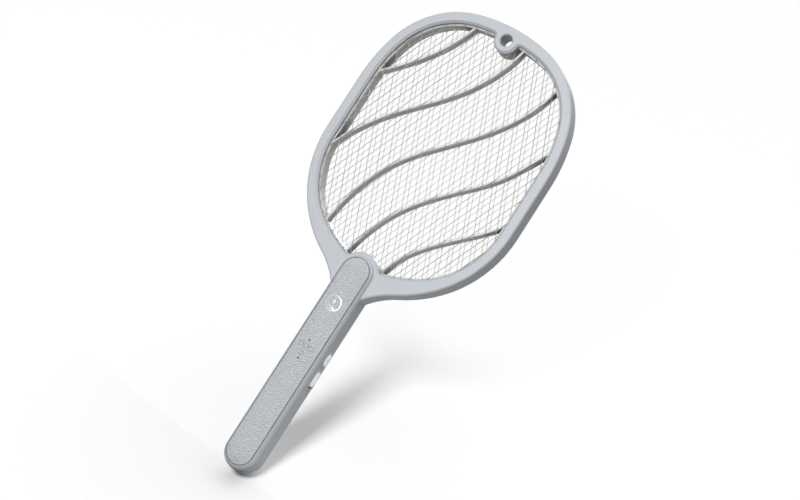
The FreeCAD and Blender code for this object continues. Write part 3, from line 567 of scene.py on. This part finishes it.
# ---- grained panel --------------------------------------------------------------------
def cell_grain(x, z, size, seed):
    """Distance to the nearest crease of an irregular cell pattern, as a share of the cell size."""
    rng = np.random.default_rng(seed)
    columns = int((x.max() - x.min()) / size) + 6
    rows = int((z.max() - z.min()) / size) + 6
    jitter = rng.uniform(0.08, 0.92, (columns, rows, 2))
    gx = (x - x.min()) / size + 2
    gz = (z - z.min()) / size + 2
    ix, iz = np.floor(gx).astype(int), np.floor(gz).astype(int)
    nearest = np.full(x.shape, 9.0)
    second = np.full(x.shape, 9.0)
    for dx in (-1, 0, 1):
        for dz in (-1, 0, 1):
            cx, cz = ix + dx, iz + dz
            distance = np.hypot(cx + jitter[cx, cz, 0] - gx, cz + jitter[cx, cz, 1] - gz)
            closer = distance < nearest
            second = np.where(closer, nearest, np.minimum(second, distance))
            nearest = np.where(closer, distance, nearest)
    return second - nearest


def ease(value, low, high):
    """Smooth step from 0 to 1 between low and high."""
    t = np.clip((value - low) / (high - low), 0, 1)
    return t * t * (3 - 2 * t)


def capsule_distance(x, z, size):
    """Signed distance to a round-ended outline lying along its longer side."""
    wide, high = size
    radius = min(wide, high) / 2
    run_x, run_z = max(wide / 2 - radius, 0), max(high / 2 - radius, 0)
    return np.hypot(x - np.clip(x, -run_x, run_x), z - np.clip(z, -run_z, run_z)) - radius


def groove_field(x, z):
    """1 on the debossed lines of the marks between the lights, 0 elsewhere, and the space near them."""
    half = GROOVE_LINE / 2
    marks = [np.abs(capsule_distance(x, z - ICON_Z, ICON_SIZE) + half),
             np.abs(capsule_distance(x, z - SMALL_ICON_Z, SMALL_ICON_SIZE) + half)]
    bars = [np.maximum(np.abs(x - side * ICON_BAR_X) - ICON_BAR_SIZE[0] / 2,
                       np.abs(z - ICON_Z) - ICON_BAR_SIZE[1] / 2) + half for side in (-1, 1)]
    distance = np.minimum.reduce(marks + bars)
    return 1 - ease(distance, half * 0.7, half * 1.3), distance


def grain_field(x, z):
    """Broad and fine wrinkles, 1 in a crease and 0 between them, swaying across the panel."""
    sway = 0.8 * MM * np.sin(x / (3.1 * MM) + 2.0 * np.sin(z / (6.3 * MM)))
    sway = sway + 0.5 * MM * np.sin(x / (1.7 * MM) - z / (2.3 * MM) + 1.3 * np.sin(z / (4.1 * MM)))
    climb = z - GRAIN_CLIMB * x
    broad = cell_grain(x * 0.3, climb + 0.55 * sway, GRAIN_CELL, BROAD_SEED)
    fine = cell_grain(x * 0.6 + 0.5 * sway, climb * 1.35 - 0.4 * sway, GRAIN_CELL, FINE_SEED)
    return 1 - ease(broad, 0.0, 0.55), 1 - ease(fine, 0.0, 0.45)


def calm_field(x, z, edge, near):
    """Share of the grain that is left: none at the edge, the marks, the lights and the emblem's ring."""
    calm = ease(near, 0.5 * MM, 1.1 * MM) * ease(edge, 0.1 * MM, 0.9 * MM)
    for node in ("power_led_lens", "charge_led_lens"):
        lens_low, lens_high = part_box(node)
        radius = (lens_high.x - lens_low.x) / 2
        away = np.hypot(x, z - (lens_low.z + lens_high.z) / 2) - radius
        calm = calm * ease(away, 0.3 * MM, 1.0 * MM)
    emblem_low, emblem_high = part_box("emblem")
    emblem_z = (emblem_low.z + emblem_high.z) / 2
    ring = (emblem_high.x - emblem_low.x) / 2
    return calm * ease(np.abs(np.hypot(x, z - emblem_z) - ring + 0.4 * MM), 0.5 * MM, 1.0 * MM)


def smooth_face(half, front_y, spine_distance, edge):
    """Depth of the panel's face without its grain: a crown with a rounded edge."""
    radius = half ** 2 / (2 * PANEL_CROWN) + PANEL_CROWN / 2
    crown = front_y + radius - np.sqrt(radius ** 2 - spine_distance ** 2)
    roll = np.clip(PANEL_EDGE_ROUND - edge, 0, PANEL_EDGE_ROUND)
    return crown + PANEL_EDGE_ROUND - np.sqrt(np.maximum(PANEL_EDGE_ROUND ** 2 - roll ** 2, 0))


def panel_rows(low, high, half):
    """Heights and half widths of the panel's rows, finer round the marks."""
    coarse = 1
    turns = np.radians(np.linspace(END_ANGLE, 0, END_ROWS // coarse))
    bottom, top = low.z + half, high.z - half
    heights = [bottom - half * math.sin(t) for t in turns]
    widths = [half * math.cos(t) for t in turns]
    marks_low, marks_high = SMALL_ICON_Z - 4 * MM, ICON_Z + 3.5 * MM
    z = bottom
    while z < top:
        z += (MARK_ROW if marks_low < z < marks_high else PANEL_ROW) * coarse
        if z < top:
            heights.append(z)
            widths.append(half)
    heights += [top + half * math.sin(t) for t in turns[::-1]]
    widths += [half * math.cos(t) for t in turns[::-1]]
    return np.array(heights), np.array(widths)


def closed_sheet(x, y, z, back_y):
    """Vertices and faces of a height field, with walls to a flat back, and the number of rim points."""
    rows, width = x.shape
    top = np.stack([x, y, z], axis=-1).reshape(-1, 3)
    faces = [(i * width + k, i * width + k + 1, (i + 1) * width + k + 1, (i + 1) * width + k)
             for i in range(rows - 1) for k in range(width - 1)]
    rim = (list(range(width)) + [i * width + width - 1 for i in range(1, rows)]
           + [(rows - 1) * width + k for k in range(width - 2, -1, -1)]
           + [i * width for i in range(rows - 2, 0, -1)])
    back = np.array([(top[i][0], back_y, top[i][2]) for i in rim])
    count = len(top)
    for k in range(len(rim)):
        n = (k + 1) % len(rim)
        faces.append((rim[n], rim[k], count + k, count + n))
    faces.append(tuple(range(count, count + len(rim))))
    return np.vstack([top, back]), faces, len(rim)


def grained_panel():
    """The handle's inlay as a height field: crown, leather grain, marks, rounded edge, closed below."""
    low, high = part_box("handle_panel")
    half = (high.x - low.x) / 2
    columns = PANEL_COLUMNS
    heights, widths = panel_rows(low, high, half)
    x = widths[:, None] * np.linspace(-1, 1, columns + 1)[None, :]
    z = np.repeat(heights[:, None], columns + 1, axis=1)
    spine_distance = np.hypot(x, z - np.clip(z, low.z + half, high.z - half))
    edge = half - spine_distance

    broad, fine = grain_field(x, z)
    grooves, near = groove_field(x, z)
    calm = calm_field(x, z, edge, near)
    y = smooth_face(half, low.y, spine_distance, edge)
    y = y + calm * GRAIN_DEPTH * (broad + FINE_SHARE * fine - GRAIN_LIFT) + GROOVE_DEPTH * grooves
    # painted shade along the panel's edge, for the gap to the shell
    seam = 1 - ease(edge, SEAM_WIDTH / 3, SEAM_WIDTH)

    vertices, faces, rim_count = closed_sheet(x, y, z, high.y)
    piece = mesh_piece("panel_skin", vertices, faces, "panel_grain")
    for name, values in (("crease", broad * calm), ("marks_and_seam_shade", np.maximum(grooves, seam))):
        layer = piece.data.attributes.new(name, "FLOAT", "POINT")
        layer.data.foreach_set("value", np.append(values.ravel(), np.zeros(rim_count)).astype(np.float32))
    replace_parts(piece, "handle_panel")


# ---- button mark ----------------------------------------------------------------------
def button_mark():
    """Small raised flash on the push button."""
    low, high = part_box("zap_button")
    y, z = (low.y + high.y) / 2, (low.z + high.z) / 2
    vertices = [(high.x - FLASH_SUNK, y + a * MM, z + b * MM) for a, b in FLASH_OUTLINE]
    vertices += [(high.x + FLASH_PROUD, y + a * MM * FLASH_TOP_SCALE, z + b * MM * FLASH_TOP_SCALE)
                 for a, b in FLASH_OUTLINE]
    n = len(FLASH_OUTLINE)
    faces = [(k, (k + 1) % n, n + (k + 1) % n, n + k) for k in range(n)]
    faces += [tuple(range(n))[::-1], tuple(range(n, 2 * n))]
    mesh_piece("zap_button_mark", vertices, faces, "shell_grey", "zap_button", smooth=False)


# ---- stage ----------------------------------------------------------------------------
def camera_axes():
    """The picture's across and upward directions and the one towards the camera."""
    yaw, pitch, roll = (math.radians(a) for a in (CAMERA_YAW, CAMERA_PITCH, CAMERA_ROLL))
    right = Vector((math.cos(yaw), math.sin(yaw), 0))
    back = Vector((math.sin(yaw) * math.cos(pitch), -math.cos(yaw) * math.cos(pitch), math.sin(pitch)))
    up = back.cross(right)
    across = math.cos(roll) * right + math.sin(roll) * up
    upward = -math.sin(roll) * right + math.cos(roll) * up
    return across, upward, back


def toward(direction):
    """Direction given as across, up and towards the camera in the picture, in object space."""
    return sum((part * axis for part, axis in zip(direction, camera_axes())), Vector()).normalized()


def add_camera():
    """The main camera, at the place and angle that show the object as in its main view."""
    data = bpy.data.cameras.new("camera")
    data.lens = CAMERA_LENS
    data.sensor_width = CAMERA_SENSOR
    data.shift_x, data.shift_y = CAMERA_SHIFT
    data.clip_end = CAMERA_CLIP_END
    camera = bpy.data.objects.new("camera", data)
    scene.collection.objects.link(camera)
    across, upward, back = camera_axes()
    turn = Matrix((across, upward, back)).transposed().to_4x4()
    camera.matrix_world = Matrix.Translation(CAMERA_PLACE) @ turn
    scene.camera = camera


def floor_sheet(g, camera_ray, glow, albedo, bounce):
    """Matt paper with a faint glow for the camera; bounce is its brightness for the light it returns."""
    paper = g.noise(4 * MM, 3.0)
    diffuse = g.node("ShaderNodeBsdfDiffuse")
    sheet = g.mix(paper, (albedo * 0.985,) * 3, (albedo,) * 3)
    g.feed(diffuse.inputs["Color"], g.mix(camera_ray, (bounce,) * 3, sheet))
    light = g.node("ShaderNodeEmission")
    g.feed(light.inputs["Strength"], g.math("MULTIPLY", camera_ray, glow))
    both = g.node("ShaderNodeAddShader")
    g.feed(both.inputs[0], diffuse.outputs[0])
    g.feed(both.inputs[1], light.outputs[0])
    return both.outputs[0]


def fade_share(g, fade_to, most):
    """Rises from 0 to the given most with the distance from the butt."""
    away = g.node("ShaderNodeVectorMath", operation="LENGTH")
    g.feed(away.inputs[0], g.point)
    rise = g.node("ShaderNodeMapRange", interpolation_type="SMOOTHSTEP")
    g.feed(rise.inputs["Value"], away.outputs["Value"])
    rise.inputs["From Min"].default_value = FLOOR_FADE_FROM
    rise.inputs["From Max"].default_value = fade_to
    rise.inputs["To Max"].default_value = most
    return rise.outputs["Result"]


def seen_by_main_camera(g, path, geometry):
    """1 for rays that start at the main camera's place, 0 for all others."""
    step = g.node("ShaderNodeVectorMath", operation="SCALE")
    g.feed(step.inputs[0], geometry.outputs["Incoming"])
    g.feed(step.inputs["Scale"], path.outputs["Ray Length"])
    source = g.node("ShaderNodeVectorMath", operation="ADD")
    g.feed(source.inputs[0], geometry.outputs["Position"])
    g.feed(source.inputs[1], step.outputs["Vector"])
    apart = g.node("ShaderNodeVectorMath", operation="DISTANCE")
    g.feed(apart.inputs[0], source.outputs["Vector"])
    apart.inputs[1].default_value = CAMERA_PLACE
    close = g.math("LESS_THAN", apart.outputs["Value"], MAIN_VIEW_REACH)
    return g.math("MULTIPLY", close, path.outputs["Is Camera Ray"])


def floor_material(name, in_main_view, glow, fade_to, fade, albedo, bounce):
    """Pale floor, seen from its upper side only, and either only or never by the main camera.

    Away from the butt it fades to plain white, so that shadows run out there.
    """
    g = Graph(name)
    path = g.node("ShaderNodeLightPath")
    geometry = g.node("ShaderNodeNewGeometry")
    camera_ray = path.outputs["Is Camera Ray"]
    white = g.node("ShaderNodeEmission")
    white.inputs["Strength"].default_value = FLOOR_WHITE
    faded = g.node("ShaderNodeMixShader")
    g.feed(faded.inputs[0], g.math("MULTIPLY", fade_share(g, fade_to, fade), camera_ray))
    g.feed(faded.inputs[1], floor_sheet(g, camera_ray, glow, albedo, bounce))
    g.feed(faded.inputs[2], white.outputs[0])

    main = seen_by_main_camera(g, path, geometry)
    hidden = g.math("SUBTRACT", 1.0, main) if in_main_view else main
    choice = g.node("ShaderNodeMixShader")
    g.feed(choice.inputs[0], g.math("MAXIMUM", hidden, geometry.outputs["Backfacing"]))
    g.feed(choice.inputs[1], faded.outputs[0])
    g.feed(choice.inputs[2], g.node("ShaderNodeBsdfTransparent").outputs[0])
    g.feed(g.tree.nodes["Material Output"].inputs["Surface"], choice.outputs[0])
    return g.material


def flat_stage(name, centre, normal, material):
    """Large square sheet through a point."""
    turn = Vector(normal).to_track_quat("Z", "Y").to_matrix().to_4x4()
    corners = [(-1, -1, 0), (1, -1, 0), (1, 1, 0), (-1, 1, 0)]
    mesh = bpy.data.meshes.new(name)
    mesh.from_pydata([turn @ (Vector(c) * FLOOR_REACH) + Vector(centre) for c in corners], [],
                     [(0, 1, 2, 3)])
    mesh.materials.append(material)
    obj = bpy.data.objects.new(name, mesh)
    scene.collection.objects.link(obj)
    return obj


def add_floors():
    """A level floor for other views, and for the main camera the floor on which the object leans."""
    material = floor_material("floor", False, LEVEL_GLOW, LEVEL_FADE_TO, 1.0, 0.9, 0.32)
    level = flat_stage("floor", (0, 0, -LEVEL_DROP), (0, 0, 1), material)
    level.visible_shadow = False

    upward, back = camera_axes()[1:]
    tilt = math.radians(LEANING_ANGLE)
    normal = math.cos(tilt) * upward + math.sin(tilt) * back
    points = [v.co for name in ("front_shell", "rear_shell") for v in NODES[name].data.vertices]
    lowest = min(points, key=lambda p: p.dot(normal))
    material = floor_material("leaning_floor", True, 0.0, LEANING_FADE_TO, LEANING_FADE, 0.98, 0.4)
    leaning = flat_stage("leaning_floor", lowest - normal * LEANING_DROP, normal, material)
    leaning.visible_diffuse = False
    leaning.visible_glossy = False
    leaning.visible_shadow = False
    leaning.visible_transmission = False


def area_light(name, aim, direction, distance, size, power):
    """Soft box shining at a point from the given direction."""
    data = bpy.data.lights.new(name, "AREA")
    data.shape = "DISK"
    data.size = size
    data.energy = power
    light = bpy.data.objects.new(name, data)
    scene.collection.objects.link(light)
    light.location = aim + direction * distance
    light.rotation_mode = "QUATERNION"
    light.rotation_quaternion = direction.to_track_quat("Z", "Y")


def add_lights():
    """A large key light in front, one behind, and a small one low down beside the butt."""
    middle = (cad_low + cad_high) / 2
    rear = Vector(REAR_TOWARD).normalized()
    area_light("key", middle, toward(KEY_TOWARD), KEY_DISTANCE, KEY_SIZE, KEY_POWER)
    area_light("rear", middle, rear, KEY_DISTANCE, KEY_SIZE, REAR_POWER)
    area_light("bounce", Vector(), toward(BOUNCE_TOWARD), BOUNCE_DISTANCE, BOUNCE_SIZE, BOUNCE_POWER)


def add_world():
    """White surroundings to the camera; on the object, light that is brighter from one side."""
    world = bpy.data.worlds.new("studio")
    scene.world = world
    world.use_nodes = True
    tree = world.node_tree
    background = tree.nodes["Background"]
    ray = tree.nodes.new("ShaderNodeLightPath")
    place = tree.nodes.new("ShaderNodeTexCoord")
    facing = tree.nodes.new("ShaderNodeVectorMath")
    facing.operation = "DOT_PRODUCT"
    tree.links.new(place.outputs["Generated"], facing.inputs[0])
    facing.inputs[1].default_value = toward(WORLD_TOWARD)
    side = tree.nodes.new("ShaderNodeMapRange")
    side.interpolation_type = "SMOOTHSTEP"
    tree.links.new(facing.outputs["Value"], side.inputs["Value"])
    side.inputs["From Min"].default_value = WORLD_EDGE
    side.inputs["To Min"].default_value = WORLD_LOW
    side.inputs["To Max"].default_value = WORLD_HIGH
    strength = tree.nodes.new("ShaderNodeMapRange")
    tree.links.new(ray.outputs["Is Camera Ray"], strength.inputs["Value"])
    tree.links.new(side.outputs["Result"], strength.inputs["To Min"])
    strength.inputs["To Max"].default_value = BACKDROP_WHITE
    background.inputs["Color"].default_value = (1, 1, 1, 1)
    tree.links.new(strength.outputs["Result"], background.inputs["Strength"])


scene.view_settings.view_transform = "Standard"
paint_frame()
wire_net("front_wires", "front_net", OUTER_PHASE)
wire_net("middle_wires", "hv_net", INNER_PHASE)
wire_net("rear_wires", "rear_net", OUTER_PHASE)
grained_panel()
button_mark()
add_world()
add_lights()
add_floors()
add_camera()
